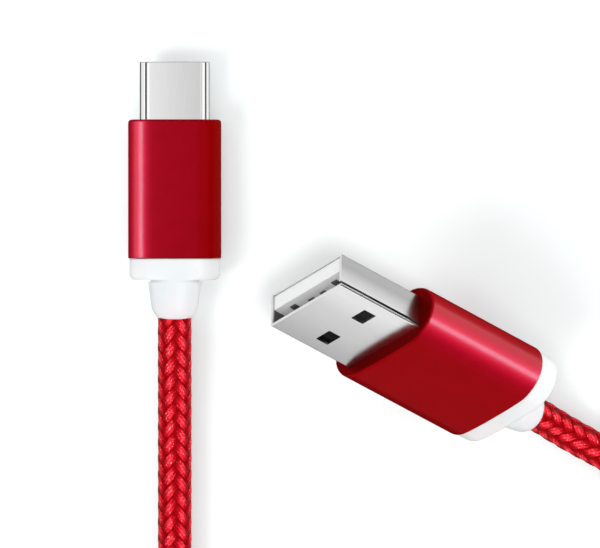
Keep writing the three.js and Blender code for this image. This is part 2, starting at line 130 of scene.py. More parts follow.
HAIR = 0.02
ARC_STEPS = 10
FLAT_STEPS = 6


def section(width, height, y, radius=1e3, arc=ARC_STEPS, crown=0.0):
    """A rounded rectangle across a plug's axis at y, as points (x, y, z) with even numbering.

    A crown makes it thinner towards its two sides by that share of its height.
    """
    radius = min(radius, width / 2 - HAIR, height / 2 - HAIR)
    points = []
    for corner, (sx, sz) in enumerate([(1, 1), (-1, 1), (-1, -1), (1, -1)]):
        cx = sx * (width / 2 - radius)
        cz = sz * (height / 2 - radius)
        for step in range(arc + 1):
            turn = math.pi / 2 * (corner + step / arc)
            points.append((cx + radius * math.cos(turn), cz + radius * math.sin(turn)))
        if sx == sz:
            flat = [cx * (1 - 2 * step / FLAT_STEPS) for step in range(1, FLAT_STEPS)]
            points.extend((x, cz + sz * radius) for x in flat)
    return [(x, y, z * (1 - crown * (2 * x / width) ** 2)) for x, z in points]


def disc(radius, y):
    return section(2 * radius, 2 * radius, y)


def rounding(edge, steps=6):
    """Pairs (inset, run) down a quarter-round edge, from the side to the face."""
    turns = [math.pi / 2 * step / steps for step in range(steps + 1)]
    return [(edge * (1 - math.cos(turn)), edge * math.sin(turn)) for turn in turns]


def loft(rings, close=True):
    """Vertices and faces of a skin over rings of equal count; close joins the last to the first."""
    count = len(rings[0])
    vertices = [point for ring in rings for point in ring]
    faces = []
    for row in range(len(rings) if close else len(rings) - 1):
        here = row * count
        there = (row + 1) % len(rings) * count
        for i in range(count):
            j = (i + 1) % count
            faces.append((here + i, here + j, there + j, there + i))
    return vertices, faces


def raw_object(name, vertices, faces):
    """A linked mesh object from vertices in millimetres."""
    mesh = bpy.data.meshes.new(name)
    mesh.from_pydata([Vector(v) * MM for v in vertices], [], faces)
    piece = bpy.data.objects.new(name, mesh)
    bpy.context.scene.collection.objects.link(piece)
    return piece


def mesh_object(name, vertices, faces, matrix=Matrix()):
    """A closed mesh object with its faces outwards."""
    piece = raw_object(name, vertices, faces)
    work = bmesh.new()
    work.from_mesh(piece.data)
    bmesh.ops.recalc_face_normals(work, faces=work.faces)
    work.to_mesh(piece.data)
    work.free()
    piece.matrix_world = matrix
    return piece


def bevel(piece, width, angle=40.0):
    soft = piece.modifiers.new("softened_edges", "BEVEL")
    soft.width = width * MM
    soft.segments = 2
    soft.limit_method = "ANGLE"
    soft.angle_limit = math.radians(angle)


def smooth(piece, angle=32.0, edge=None):
    """Smooth shading with flat faces kept flat and edges sharper than the angle kept crisp.

    An edge, if given, is the width of a bevel that goes on before the normals are weighted.
    """
    piece.data.polygons.foreach_set("use_smooth", [True] * len(piece.data.polygons))
    piece.data.set_sharp_from_angle(angle=math.radians(angle))
    if edge:
        bevel(piece, edge)
    weighted = piece.modifiers.new("face_weighted_normals", "WEIGHTED_NORMAL")
    weighted.keep_sharp = True


def second_material(piece, material, chosen):
    """Adds a material for the faces that are chosen."""
    piece.data.materials.append(material)
    for face in piece.data.polygons:
        if chosen(face):
            face.material_index = 1


def finish_piece(piece, material, nodes):
    piece.data.materials.append(material)
    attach(piece, "root")
    if nodes:
        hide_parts(*nodes)
    return piece


def cut(piece, cutters):
    """Takes the cutters out of the piece and deletes them."""
    for cutter in cutters:
        boolean = piece.modifiers.new("cut", "BOOLEAN")
        boolean.operation = "DIFFERENCE"
        boolean.solver = "EXACT"
        boolean.object = cutter
    depsgraph = bpy.context.evaluated_depsgraph_get()
    result = bpy.data.meshes.new_from_object(piece.evaluated_get(depsgraph))
    piece.modifiers.clear()
    piece.data = result
    for cutter in cutters:
        bpy.data.objects.remove(cutter, do_unlink=True)


# ---------------------------------------------------------------- material helpers


class Look:
    """A procedural material: a Principled shader and short ways to add nodes to it."""

    def __init__(self, name, **sockets):
        self.material = bpy.data.materials.new(name)
        self.material.use_nodes = True
        self.tree = self.material.node_tree
        self.shader = self.tree.nodes["Principled BSDF"]
        for socket, value in sockets.items():
            self.shader.inputs[socket.replace("_", " ")].default_value = value
        place = self.tree.nodes.new("ShaderNodeTexCoord")
        self.uv = place.outputs["UV"]
        self.where = self.vector("SCALE", place.outputs["Object"], scale=1 / MM)

    def put(self, socket, value):
        if hasattr(value, "is_output"):
            self.tree.links.new(value, socket)
        else:
            socket.default_value = value

    def vector(self, operation, first, second=None, scale=None):
        node = self.tree.nodes.new("ShaderNodeVectorMath")
        node.operation = operation
        self.put(node.inputs[0], first)
        if second is not None:
            self.put(node.inputs[1], second)
        if scale is not None:
            self.put(node.inputs["Scale"], scale)
        return node.outputs["Value" if operation == "DOT_PRODUCT" else "Vector"]

    def math(self, operation, first, second=None):
        node = self.tree.nodes.new("ShaderNodeMath")
        node.operation = operation
        self.put(node.inputs[0], first)
        if second is not None:
            self.put(node.inputs[1], second)
        return node.outputs[0]

    def fit(self, value, low, high, to_low=0.0, to_high=1.0):
        """The value stretched, and held, so that low and high come out as to_low and to_high."""
        node = self.tree.nodes.new("ShaderNodeMapRange")
        self.put(node.inputs["Value"], value)
        limits = {"From Min": low, "From Max": high, "To Min": to_low, "To Max": to_high}
        for socket, number in limits.items():
            node.inputs[socket].default_value = number
        return node.outputs["Result"]

    def noise(self, per_mm, detail=3.0, stretch=None, where=None):
        """Noise from 0 to 1, with so many features to the millimetre."""
        place = where if where is not None else self.where
        if stretch is not None:
            place = self.vector("MULTIPLY", place, stretch)
        node = self.tree.nodes.new("ShaderNodeTexNoise")
        node.inputs["Scale"].default_value = per_mm
        node.inputs["Detail"].default_value = detail
        self.put(node.inputs["Vector"], place)
        return node.outputs["Fac"]

    def ramp(self, value, stops):
        node = self.tree.nodes.new("ShaderNodeValToRGB")
        elements = node.color_ramp.elements
        while len(elements) < len(stops):
            elements.new(0.5)
        for element, (place, color) in zip(elements, stops):
            element.position = place
            element.color = (*color, 1.0)
        self.put(node.inputs["Fac"], value)
        return node.outputs["Color"]

    def mix(self, amount, first, second):
        node = self.tree.nodes.new("ShaderNodeMix")
        node.data_type = "RGBA"
        shown = [socket for socket in node.inputs if socket.enabled]
        for socket, value in zip(shown, (amount, first, second)):
            self.put(socket, value)
        return next(socket for socket in node.outputs if socket.enabled)

    def color(self, value):
        self.put(self.shader.inputs["Base Color"], value)

    def rough(self, value):
        self.put(self.shader.inputs["Roughness"], value)

    def bump(self, height, depth):
        """height runs from 0 to 1, and depth is what that is in millimetres."""
        node = self.tree.nodes.new("ShaderNodeBump")
        node.inputs["Strength"].default_value = 1.0
        node.inputs["Distance"].default_value = depth * MM
        self.put(node.inputs["Height"], height)
        self.put(self.shader.inputs["Normal"], node.outputs["Normal"])


def rgb(r, g, b):
    return (r, g, b, 1.0)


# ---------------------------------------------------------------- materials

RED_SHADES = [(0.300, 0.0002, 0.0014), (0.335, 0.0003, 0.0018), (0.360, 0.0005, 0.0024)]


def anodised_red(name, depth):
    """Bead-blasted aluminium with a satin red anodised layer; a lower depth gives a darker copy, used
    as painted shade.
    """
    look = Look(
        name, Metallic=1.0, Coat_Weight=0.09 * depth, Coat_Roughness=0.24, Coat_IOR=1.3,
        Specular_Tint=rgb(0.45, 0.02, 0.05),
    )
    cloud = look.noise(0.35, 2.0)
    grain = look.noise(11.0, 4.0)
    shades = [rgb(*[depth * c for c in tone]) for tone in RED_SHADES]
    tone = look.mix(look.fit(cloud, 0.35, 0.65), shades[0], shades[1])
    look.color(look.mix(look.fit(grain, 0.30, 0.75), tone, shades[2]))
    look.rough(look.fit(grain, 0.2, 0.8, 0.52, 0.62))
    look.bump(grain, 0.006)
    return look.material


def mouth_rim(look, deep, near):
    """0 to 1 between two depths behind the front end of the USB-A shell."""
    along = look.vector("DOT_PRODUCT", look.where, (0.0, 1.0, 0.0))
    return look.fit(along, A_SHELL["front"] - deep, A_SHELL["front"] - near)


def nickel(name, low, high, painted_shades=None):
    """Bright nickel plate on steel: faint drawing lines and a polish between two roughnesses.

    The painted shades, if any, are a painted reflection across a shell's section, by the place in it;
    the mouth's rim takes the last of them, a painted highlight.
    """
    look = Look(name, Metallic=1.0, Specular_Tint=rgb(0.45, 0.45, 0.46))
    lines = look.noise(3.0, 4.0, (6.0, 0.12, 6.0))
    cloud = look.noise(0.6, 2.0)
    plate = look.mix(lines, rgb(0.71, 0.705, 0.70), rgb(0.79, 0.79, 0.795))
    if painted_shades:
        # Painted reflection across the section, and a painted highlight on the mouth's rim.
        slant = look.vector("DOT_PRODUCT", look.where, (1.0, 0.0, TONE_SLOPE))
        corner = look.fit(look.math("ABSOLUTE", slant), 0.0, TONE_REACH)
        reach = look.math("ADD", corner, mouth_rim(look, *RIM_HIGHLIGHT))
        tone = look.ramp(reach, [(place / TONE_REACH, (level,) * 3) for place, level in painted_shades])
        plate = look.vector("MULTIPLY", plate, tone)
    look.color(plate)
    look.rough(look.fit(cloud, 0.3, 0.7, low, high))
    look.bump(lines, 0.0012)
    return look.material


def shaded_inner_steel():
    """The inside of a folded shell, unpolished, dark metal as painted shade, with a painted lit band
    just inside the mouth.
    """
    look = Look("shaded_inner_steel", Metallic=1.0)
    cloud = look.noise(1.5, 3.0)
    shaded_inside = look.mix(cloud, rgb(0.10, 0.10, 0.105), rgb(0.20, 0.20, 0.20))
    look.color(look.mix(mouth_rim(look, *RIM_LIT_BAND), shaded_inside, rgb(0.80, 0.80, 0.80)))
    look.rough(look.fit(cloud, 0.3, 0.7, 0.30, 0.45))
    look.bump(look.noise(6.0, 3.0), 0.003)
    return look.material


def gold(name, bright, worn, low=0.18, high=0.32):
    """Thin plating over a stamped contact, with a polish between two roughnesses."""
    look = Look(name, Metallic=1.0)
    wear = look.noise(2.5, 4.0)
    look.color(look.mix(look.fit(wear, 0.4, 0.75), rgb(*bright), rgb(*worn)))
    look.rough(look.fit(wear, 0.3, 0.7, low, high))
    look.bump(look.noise(20.0, 2.0), 0.0015)
    return look.material


def moulded(name, light, dark, roughness, **sockets):
    """Moulded plastic: a fine spark-eroded grain and a little unevenness in colour and gloss."""
    look = Look(name, **sockets)
    cloud = look.noise(0.5, 2.0)
    grain = look.noise(7.0, 3.0)
    look.color(look.mix(look.fit(cloud, 0.3, 0.7), rgb(*light), rgb(*dark)))
    look.rough(look.fit(grain, 0.25, 0.75, roughness - 0.05, roughness + 0.07))
    look.bump(grain, 0.004)
    return look.material


def insulator():
    """The white tongue of the USB-A plug, with painted shade that darkens it with depth behind the
    mouth.
    """
    look = Look("white_insulator", Specular_IOR_Level=0.4)
    axis = A_PLUG.to_3x3() @ Vector((0, 1, 0))
    front = (A_PLUG @ (Vector((0, A_SHELL["front"], 0)) * MM)) / MM
    depth = look.math("SUBTRACT", front.dot(axis), look.vector("DOT_PRODUCT", look.where, axis))
    cloud = look.noise(0.8, 2.0)
    # Painted shade: the tongue darkens with depth behind the mouth.
    shade = look.math("ADD", look.fit(depth, 1.0, 5.0), look.fit(cloud, 0.0, 1.0, -0.05, 0.05))
    stops = [(0.0, (0.88, 0.88, 0.88)), (0.3, (0.74, 0.74, 0.74)), (0.8, (0.05, 0.05, 0.05))]
    look.color(look.ramp(shade, stops))
    look.rough(look.fit(cloud, 0.3, 0.7, 0.38, 0.5))
    look.bump(look.noise(6.0, 3.0), 0.004)
    return look.material


def wire_skin(name, color):
    """Extruded insulation: faint lengthwise drag lines and small colour drift."""
    look = Look(name, Specular_IOR_Level=0.45)
    cloud = look.noise(0.8, 2.0)
    look.color(look.mix(cloud, rgb(*[c * 0.85 for c in color]), rgb(*color)))
    look.rough(look.fit(cloud, 0.3, 0.7, 0.3, 0.42))
    look.bump(look.noise(9.0, 2.0), 0.003)
    return look.material


def circuit_board():
    """Green solder mask over copper tracks, with the glass weave just showing."""
    look = Look("solder_mask", Coat_Weight=0.4, Coat_Roughness=0.15)
    tracks = look.tree.nodes.new("ShaderNodeTexBrick")
    tracks.inputs["Scale"].default_value = 1.3
    tracks.inputs["Mortar Size"].default_value = 0.05
    look.put(tracks.inputs["Vector"], look.where)
    weave = look.noise(12.0, 2.0)
    mask = look.mix(weave, rgb(0.010, 0.10, 0.035), rgb(0.016, 0.14, 0.05))
    shown = look.math("MULTIPLY", tracks.outputs["Fac"], 0.7)
    look.color(look.mix(shown, mask, rgb(0.05, 0.26, 0.10)))
    look.rough(look.fit(weave, 0.3, 0.7, 0.32, 0.42))
    look.bump(tracks.outputs["Fac"], 0.02)
    return look.material


def braid_pattern(look):
    """The woven surface in the cord's own coordinates: its height, its finer patterns, and a painted
    shade between the ribs.
    """
    strands = look.tree.nodes.new("ShaderNodeSeparateXYZ")
    look.put(strands.inputs["Vector"], look.uv)
    across, along = strands.outputs["X"], strands.outputs["Y"]

    def family(line, crossing, phase):
        number = look.math("ROUND", line)
        offset = look.math("SUBTRACT", line, number)
        place = look.math("ADD", look.math("ADD", crossing, number), -phase)
        turn = look.math("MULTIPLY", place, math.pi / 2)
        wave = look.math("MULTIPLY", look.math("COSINE", turn), BRAID["wave"])
        reach = look.math("ABSOLUTE", look.math("MULTIPLY", offset, 2 * BRAID["fill"]))
        below = look.math("SUBTRACT", 1.0, look.math("POWER", reach, 2.0))
        round_top = look.math("SQRT", look.math("MAXIMUM", below, 0.0))
        crown = look.math("MULTIPLY", round_top, BRAID["strand"])
        return look.math("ADD", wave, crown), offset

    right = look.math("SUBTRACT", across, along)
    left = look.math("ADD", across, along)
    height_right, offset_right = family(right, left, 0.5)
    height_left, offset_left = family(left, right, 2.5)
    height = look.math("MAXIMUM", height_right, height_left)
    right_on_top = look.math("GREATER_THAN", height_right, height_left)

    def pick(if_right, if_left):
        gap = look.math("SUBTRACT", if_right, if_left)
        return look.math("ADD", if_left, look.math("MULTIPLY", gap, right_on_top))

    offset = pick(offset_right, offset_left)
    run = pick(left, right)
    yarn_turn = look.math("MULTIPLY", offset, BRAID["yarns"] * math.pi)
    yarn = look.math("ABSOLUTE", look.math("COSINE", yarn_turn))

    def strand_noise(across_it, along_it, detail):
        place = look.tree.nodes.new("ShaderNodeCombineXYZ")
        look.put(place.inputs["X"], look.math("MULTIPLY", offset, across_it))
        look.put(place.inputs["Y"], look.math("MULTIPLY", run, along_it))
        look.put(place.inputs["Z"], look.math("MULTIPLY", right_on_top, STRAND_SEED))
        return look.noise(1.0, detail, where=place.outputs["Vector"])

    fibre = strand_noise(26.0, 1.6, 3.0)
    glint = strand_noise(9.0, 5.0, 1.0)
    # Painted shade that darkens between the ribs.
    turn = look.math("MULTIPLY", look.math("ADD", across, RIB_SHADE_PHASE), 2 * math.pi)
    rib_shade = look.math("SUBTRACT", 0.5, look.math("MULTIPLY", look.math("COSINE", turn), 0.5))
    return height, yarn, fibre, glint, rib_shade


def braid_red():
    """Bright red nylon yarns with fine fibres along each; painted shade darkens the valleys, the gaps
    between yarns and between ribs, and painted glints light the crowns.
    """
    look = Look("braided_nylon", IOR=1.13, Specular_Tint=rgb(1.0, 0.2, 0.25))
    height, yarn, fibre, glint, rib_shade = braid_pattern(look)
    crest = BRAID["wave"] + BRAID["strand"]
    # Painted shade: darker in the weave's valleys, between yarns and between ribs.
    level = look.fit(height, 0.05 * crest, 0.97 * crest)
    with_yarn_shade = look.math("MULTIPLY", level, look.fit(yarn, 0.0, 1.0, 0.75, 1.0))
    with_rib_shade = look.math("MULTIPLY", with_yarn_shade, look.fit(rib_shade, 0.0, 1.0, 0.66, 1.0))
    painted_shading = look.math("ADD", with_rib_shade, look.fit(fibre, 0.25, 0.75, -0.16, 0.16))
    tone = look.ramp(painted_shading, [
        (0.0, (0.075, 0.000, 0.0001)),
        (0.35, (0.15, 0.0001, 0.0010)),
        (0.62, (0.27, 0.0012, 0.0050)),
        (0.85, (0.47, 0.010, 0.021)),
        (1.0, (0.58, 0.036, 0.052)),
    ])
    # Painted glints on the crowns.
    painted_glint = look.math("MULTIPLY", look.fit(glint, 0.60, 0.72), look.fit(painted_shading, 0.45, 0.8))
    look.color(look.mix(painted_glint, tone, rgb(0.76, 0.16, 0.175)))
    look.rough(look.fit(fibre, 0.2, 0.8, 0.34, 0.5))
    relief = look.math("ADD", look.math("MULTIPLY", yarn, 0.75), look.math("MULTIPLY", fibre, 0.45))
    look.bump(relief, 0.05)
    return look.material


def strap_black():
    """Black hook-and-loop strap: fine loop pile between woven selvedges."""
    look = Look("strap_pile", Sheen_Weight=0.12, Sheen_Roughness=0.6)
    pile = look.noise(7.0, 4.0)
    tuft = look.noise(2.2, 3.0)
    lit = look.fit(pile, 0.35, 0.75)
    look.color(look.mix(lit, rgb(0.006, 0.006, 0.0065), rgb(0.028, 0.028, 0.030)))
    look.rough(look.fit(tuft, 0.3, 0.7, 0.75, 0.95))
    relief = look.math("ADD", look.math("MULTIPLY", pile, 0.6), look.math("MULTIPLY", tuft, 0.4))
    look.bump(relief, 0.12)
    return look.material


def paper_floor():
    """Plain pale matte paper."""
    look = Look("white_sweep", Specular_IOR_Level=0.1)
    look.color(look.mix(look.noise(0.02, 2.0), rgb(0.645, 0.67, 0.67), rgb(0.665, 0.69, 0.69)))
    look.rough(look.fit(look.noise(0.5, 2.0), 0.3, 0.7, 0.85, 0.95))
    return look.material


# ---------------------------------------------------------------- camera


def make_camera():
    """Straight above, through a long lens, as the two plugs are seen in one flat view."""
    data = bpy.data.cameras.new("camera")
    data.lens = CAMERA["lens"]
    data.sensor_width = CAMERA["sensor"]
    data.clip_start = 0.01
    data.clip_end = 10.0
    height = CAMERA["picture"] * data.lens / data.sensor_width + CAMERA["focus"]
    camera = bpy.data.objects.new("camera", data)
    camera.location = Vector((CAMERA["x"], CAMERA["y"], height)) * MM
    bpy.context.scene.collection.objects.link(camera)
    bpy.context.scene.camera = camera


# ---------------------------------------------------------------- cord


def coil_points():
    """The coil's centreline from the USB-A side, down to its inner turn and back out on top."""
    half = COIL["turns"] / 2
    start, end = COIL["climb"]
    points = []
    for step in range(int(COIL["turns"] * COIL_POINTS_PER_TURN) + 1):
        turn = step / COIL_POINTS_PER_TURN
        radius = COIL["radius"] - COIL["pitch"] * (half - abs(turn - half))
        rise = min(max((turn - start) / (end - start), 0.0), 1.0)
        rise = rise * rise * (3 - 2 * rise)
        angle = -2 * math.pi * turn
        points.append((
            COIL["x"] + radius * math.cos(angle),
            COIL["y"] + radius * math.sin(angle),
            COIL["low"] + (COIL["high"] - COIL["low"]) * rise,
        ))
    return points


def cord_route():
    """Listed points and coil turns joined from the USB-C boot to the USB-A boot."""

    def inside(run):
        first, second = np.array(run[0]), np.array(run[1])
        away = (first - second) / np.linalg.norm(first - second)
        return tuple(first + IN_BOOT * away)

    c_run = [(CORD_C_RUN[0][0], CORD_C_RUN[0][1] + IN_BOOT, CORD_C_RUN[0][2])] + CORD_C_RUN
    a_run = [inside(CORD_A_RUN)] + CORD_A_RUN
    return np.array(c_run + coil_points()[::-1] + a_run[::-1])


def smooth_line(points, step):
    """A centripetal Catmull-Rom curve through the points, as places and distances along it."""
    padded = np.vstack([2 * points[0] - points[1], points, 2 * points[-1] - points[-2]])
    knots = np.concatenate([[0], np.cumsum(np.sqrt(np.linalg.norm(np.diff(padded, axis=0), axis=1)))])
    pieces = []
    for i in range(1, len(padded) - 2):
        p0, p1, p2, p3 = padded[i - 1:i + 3]
        t0, t1, t2, t3 = knots[i - 1:i + 3]
        count = max(2, int(np.linalg.norm(p2 - p1) / step))
        t = np.linspace(t1, t2, count, endpoint=False)[:, None]
        a1 = (t1 - t) / (t1 - t0) * p0 + (t - t0) / (t1 - t0) * p1
        a2 = (t2 - t) / (t2 - t1) * p1 + (t - t1) / (t2 - t1) * p2
        a3 = (t3 - t) / (t3 - t2) * p2 + (t - t2) / (t3 - t2) * p3
        b1 = (t2 - t) / (t2 - t0) * a1 + (t - t0) / (t2 - t0) * a2
        b2 = (t3 - t) / (t3 - t1) * a2 + (t - t1) / (t3 - t1) * a3
        pieces.append((t2 - t) / (t2 - t1) * b1 + (t - t1) / (t2 - t1) * b2)
    line = np.vstack(pieces + [points[-1:]])
    distance = np.concatenate([[0], np.cumsum(np.linalg.norm(np.diff(line, axis=0), axis=1))])
    return line, distance


def carried_frames(line):
    """Two unit vectors across the line at each place, carried along it without twist."""
    tangent = np.gradient(line, axis=0)
    tangent /= np.linalg.norm(tangent, axis=1)[:, None]
    up = np.array([0.0, 0.0, 1.0])
    ups = []
    for t in tangent:
        up = up - t * np.dot(up, t)
        up = up / np.linalg.norm(up)
        ups.append(up)
    ups = np.array(ups)
    return ups, np.cross(tangent, ups)


def braid_height(across, along):
    """Height of the woven surface over its core: across in strand widths, along in repeats."""

    def family(line, crossing, phase):
        number = np.round(line)
        reach = np.clip(1 - (2 * BRAID["fill"] * (line - number)) ** 2, 0, None)
        wave = BRAID["wave"] * np.cos(math.pi / 2 * (crossing + number - phase))
        return wave + BRAID["strand"] * np.sqrt(reach)

    right, left = across - along, across + along
    return np.maximum(family(right, left, 0.5), family(left, right, 2.5))


def ring_places(length):
    """Distances of the braid's rings along the cord, and how many vertices each has."""
    fine = BRAID["repeat"] / BRAID_FINE["per_repeat"]
    coarse = BRAID["repeat"] / BRAID_COARSE["per_repeat"]
    first = np.arange(0, C_SEEN, fine)
    last = length - np.arange(0, A_SEEN, fine)[::-1]
    middle = np.arange(first[-1] + coarse, last[0] - coarse / 2, coarse)
    places = np.concatenate([first, middle, last])
    counts = [BRAID_FINE["round"]] * len(first) + [BRAID_COARSE["round"]] * len(middle)
    return places, counts + [BRAID_FINE["round"]] * len(last)


def stitch(here, there, many, few):
    """Faces between two rings: equal ones by quads, a fine and a coarse one by triangles."""
    faces = []
    if many == few:
        for i in range(many):
            j = (i + 1) % many
            faces.append(((here, i), (here, j), (there, j), (there, i)))
        return faces
    fine, coarse, count = (here, there, few) if many > few else (there, here, many)
    for i in range(count):
        j = (i + 1) % count
        a, b, c = 2 * i, 2 * i + 1, (2 * i + 2) % (2 * count)
        group = [
            ((fine, a), (fine, b), (coarse, i)),
            ((coarse, i), (fine, b), (coarse, j)),
            ((fine, b), (fine, c), (coarse, j)),
        ]
        faces.extend(face if fine == here else face[::-1] for face in group)
    return faces


def braided_cord(material):
    """The whole cord as one woven tube, finest where it leaves the plugs."""
    line, distance = smooth_line(cord_route(), ROUTE_STEP)
    length = distance[-1]
    ups, sides = carried_frames(line)
    places, counts = ring_places(length)

    def at_places(values):
        return np.stack([np.interp(places, distance, values[:, k]) for k in range(3)], axis=1)

    centres, up, side = at_places(line), at_places(ups), at_places(sides)

    vertices, starts, uvs = [], [], []
    for k, count in enumerate(counts):
        starts.append(len(vertices))
        round_it = np.arange(count) / count
        along = places[k] / BRAID["repeat"]
        radius = BRAID["core"] + braid_height(BRAID["strands"] * round_it, along)
        turn = 2 * math.pi * round_it + math.radians(BRAID_TURN)
        ring = centres[k] + radius[:, None] * (
            np.cos(turn)[:, None] * up[k] + np.sin(turn)[:, None] * side[k]
        )
        vertices.extend(ring.tolist())

    faces = []
    for k in range(len(counts) - 1):
        for face in stitch(k, k + 1, counts[k], counts[k + 1]):
            faces.append([starts[ring] + i for ring, i in face])
            top = max(i / counts[ring] for ring, i in face)
            for ring, i in face:
                share = i / counts[ring]
                if share == 0 and top > 0.5:
                    share = 1.0
                uvs.extend((BRAID["strands"] * share, places[ring] / BRAID["repeat"]))
    for k in (0, len(counts) - 1):
        centre = len(vertices)
        vertices.append(centres[k].tolist())
        for i in range(counts[k]):
            j = (i + 1) % counts[k]
            rim = [starts[k] + i, starts[k] + j]
            faces.append([centre] + (rim[::-1] if k == 0 else rim))
            uvs.extend([0.0] * 6)

    piece = raw_object("braided_cord", vertices, faces)
    piece.data.uv_layers.new(name="braid").data.foreach_set("uv", uvs)
    piece.data.polygons.foreach_set("use_smooth", [True] * len(piece.data.polygons))
    finish_piece(piece, material, ["cord_a_run", "cord_c_run", "cord_coil"])
    return piece, (centres * MM).tolist(), length * MM


# ---------------------------------------------------------------- plugs


def sleeve(name, size, hole, matrix, materials, node):
    """A drawn cup with a rounded front edge; its front wall has the shell's opening, and its front face
    takes the second material, a darker red as painted shade.
    """
    width, height, length, wall = (size[k] for k in ("width", "height", "length", "wall"))
    rim = 0.08
    rings = [
        section(width - 2 * rim, height - 2 * rim, -length, crown=CROWN),
        section(width, height, -length + rim, crown=CROWN),
    ]
    for inset, run in rounding(size["edge"]):
        rings.append(section(width - 2 * inset, height - 2 * inset, run - size["edge"], crown=CROWN))
    lip = 0.03
    rings.append(section(hole[0] + 2 * lip, hole[1] + 2 * lip, 0, hole[2] + lip))
    rings.append(section(hole[0], hole[1], -lip, hole[2]))
    rings.append(section(hole[0], hole[1], -wall, hole[2]))
    rings.append(section(width - 2 * wall, height - 2 * wall, -wall))
    rings.append(section(width - 2 * wall, height - 2 * wall, -length))
    piece = mesh_object(name, *loft(rings), matrix)
    smooth(piece)
    side, front = materials
    finish_piece(piece, side, [node])
    # The front face takes the darker red: painted shade.
    edge = size["edge"] * MM
    second_material(piece, front, lambda f: f.normal.y > FACES_FRONT and f.center.y > -edge)
    return piece


def boot_end(size, cup):
    """The place of a boot's rear end on its plug's axis."""
    return -cup["length"] - FACE_GAP - size["length"] - size["boot"]


def bowed(ring):
    """The ring with its upper half drawn out a little, so the boot's end lies in an arc."""
    draft, bow = BOOT["draft"], BOOT["bow"] / BORE["radius"]
    return [(x, y + draft - bow * max(z, 0.0), z) for x, y, z in ring]


def end_cap(name, size, cup, matrix, material, node):
    """The white closure: flange, hidden spigot, and the round boot with the cord's bore."""
    top = -cup["length"] - FACE_GAP
    rear = top - size["length"]
    end = boot_end(size, cup)
    width, height = size["width"], size["height"]
    room = 2 * (cup["wall"] + FIT)
    rim = 0.1
    neck = size["neck"]
    most = height / 2 - neck - HAIR
    rings = [
        disc(WIRE_BORE, top + SPIGOT),
        section(cup["width"] - room, cup["height"] - room, top + SPIGOT),
        section(cup["width"] - room, cup["height"] - room, top),
        section(width - 2 * rim, height - 2 * rim, top, crown=CROWN),
        section(width, height, top - rim, crown=CROWN),
    ]
    for inset, run in rounding(size["edge"], 8):
        place = rear + size["edge"] - run
        rings.append(section(width - 2 * inset, height - 2 * min(inset, most), place, crown=CROWN))
    foot = BOOT["fillet"]
    for inset, run in rounding(foot)[::-1]:
        half = neck + foot - run
        tall = min(half, height / 2 - most)
        rings.append(section(2 * half + HAIR, 2 * tall, rear - (foot - inset)))
    for inset, run in BOOT["taper"]:
        rings.append(bowed(disc(neck - inset, end + run)))
    rings += [
        bowed(disc(BORE["radius"] + BORE["chamfer"], end)),
        disc(BORE["radius"], end + BORE["chamfer"]),
        disc(BORE["radius"], end + BORE["depth"]),
        disc(WIRE_BORE, end + BORE["depth"]),
    ]
    piece = mesh_object(name, *loft(rings), matrix)
    smooth(piece)
    return finish_piece(piece, material, [node])


def usb_c_shell(material, lip):
    """A seamless drawn tube with its mouth rolled smooth; the front of the lip takes the dark inside
    steel, a painted dark line.
    """
    width, height, wall = C_SHELL["width"], C_SHELL["height"], C_SHELL["wall"]
    front, rear = C_SHELL["front"], C_SHELL["rear"]
    roll = 0.1

    def ring(x, z, place, crown=0.0):
        return section(x, z, place, arc=SHELL_ARC, crown=crown)

    rings = [ring(width, height, rear, SHELL_CROWN)]
    for inset, run in rounding(roll, 4):
        place = front - roll + run
        rings.append(ring(width - 2 * inset, height - 2 * inset, place, SHELL_CROWN))
    inner = (width - 2 * wall, height - 2 * wall)
    for inset, run in rounding(roll, 4)[::-1]:
        rings.append(ring(inner[0] + 2 * inset, inner[1] + 2 * inset, front - roll + run))
    rings.append(ring(*inner, rear))
    piece = mesh_object("usb_c_shell", *loft(rings), C_PLUG)
    smooth(piece)
    finish_piece(piece, material, ["c_shell"])
    # Painted shade: the front of the rolled lip takes the dark inside steel.
    second_material(piece, lip, lambda f: f.center.y > (front - LIP_SHARE * roll) * MM)
    return piece


def usb_a_shell(outside, inside):
    """A folded sheet: an open seam along one corner and two windows in each broad face."""
    width, height, wall, corner = (A_SHELL[k] for k in ("width", "height", "wall", "corner"))
    front, rear = A_SHELL["front"], A_SHELL["rear"]
    inner = (width - 2 * wall, height - 2 * wall)
    shell = mesh_object("usb_a_shell", *loft([
        section(width, height, rear, corner, 6),
        section(width, height, front, corner, 6),
        section(*inner, front, A_SHELL["bend"], 6),
        section(*inner, rear, A_SHELL["bend"], 6),
    ]))
    past = 1.0
    low, high = A_SEAM
    gap = section(2 * (past + wall), high - low, rear - past, 0)
    seam = [(x + width / 2, y, z + (low + high) / 2) for x, y, z in gap]
    seam_end = [(x, front + past, z) for x, _, z in seam]
    cutters = [mesh_object("seam_cut", *capped([seam, seam_end]))]
    top = front - A_WINDOW["behind_mouth"]
    for side in (-1, 1):
        outline = section(A_WINDOW["width"], A_WINDOW["length"], 0, A_WINDOW["corner"], 4)
        x0, y0 = side * A_WINDOW["offset"], top - A_WINDOW["length"] / 2
        rings = [[(x0 + x, y0 + z, level) for x, _, z in outline] for level in (-height, height)]
        cutters.append(mesh_object(f"window_cut_{side}", *capped(rings)))
    cut(shell, cutters)
    shell.matrix_world = A_PLUG
    smooth(shell, 25.0, 0.08)
    finish_piece(shell, outside, ["a_shell"])
    reach = [side / 2 + 0.02 for side in inner]

    def is_inside(face):
        x, _, z = face.center / MM
        return abs(x) < reach[0] and abs(z) < reach[1] and abs(face.normal.y) < 0.5

    # Painted shade: the faces inside the shell take the dark inside steel.
    second_material(shell, inside, is_inside)
    return shell


def capped(rings):
    """Vertices and faces of a skin over rings, closed by a flat face at each end."""
    vertices, faces = loft(rings, close=False)
    count = len(rings[0])
    faces.append(list(range(count))[::-1])
    faces.append(list(range(len(vertices) - count, len(vertices))))
    return vertices, faces


# ---------------------------------------------------------------- tie


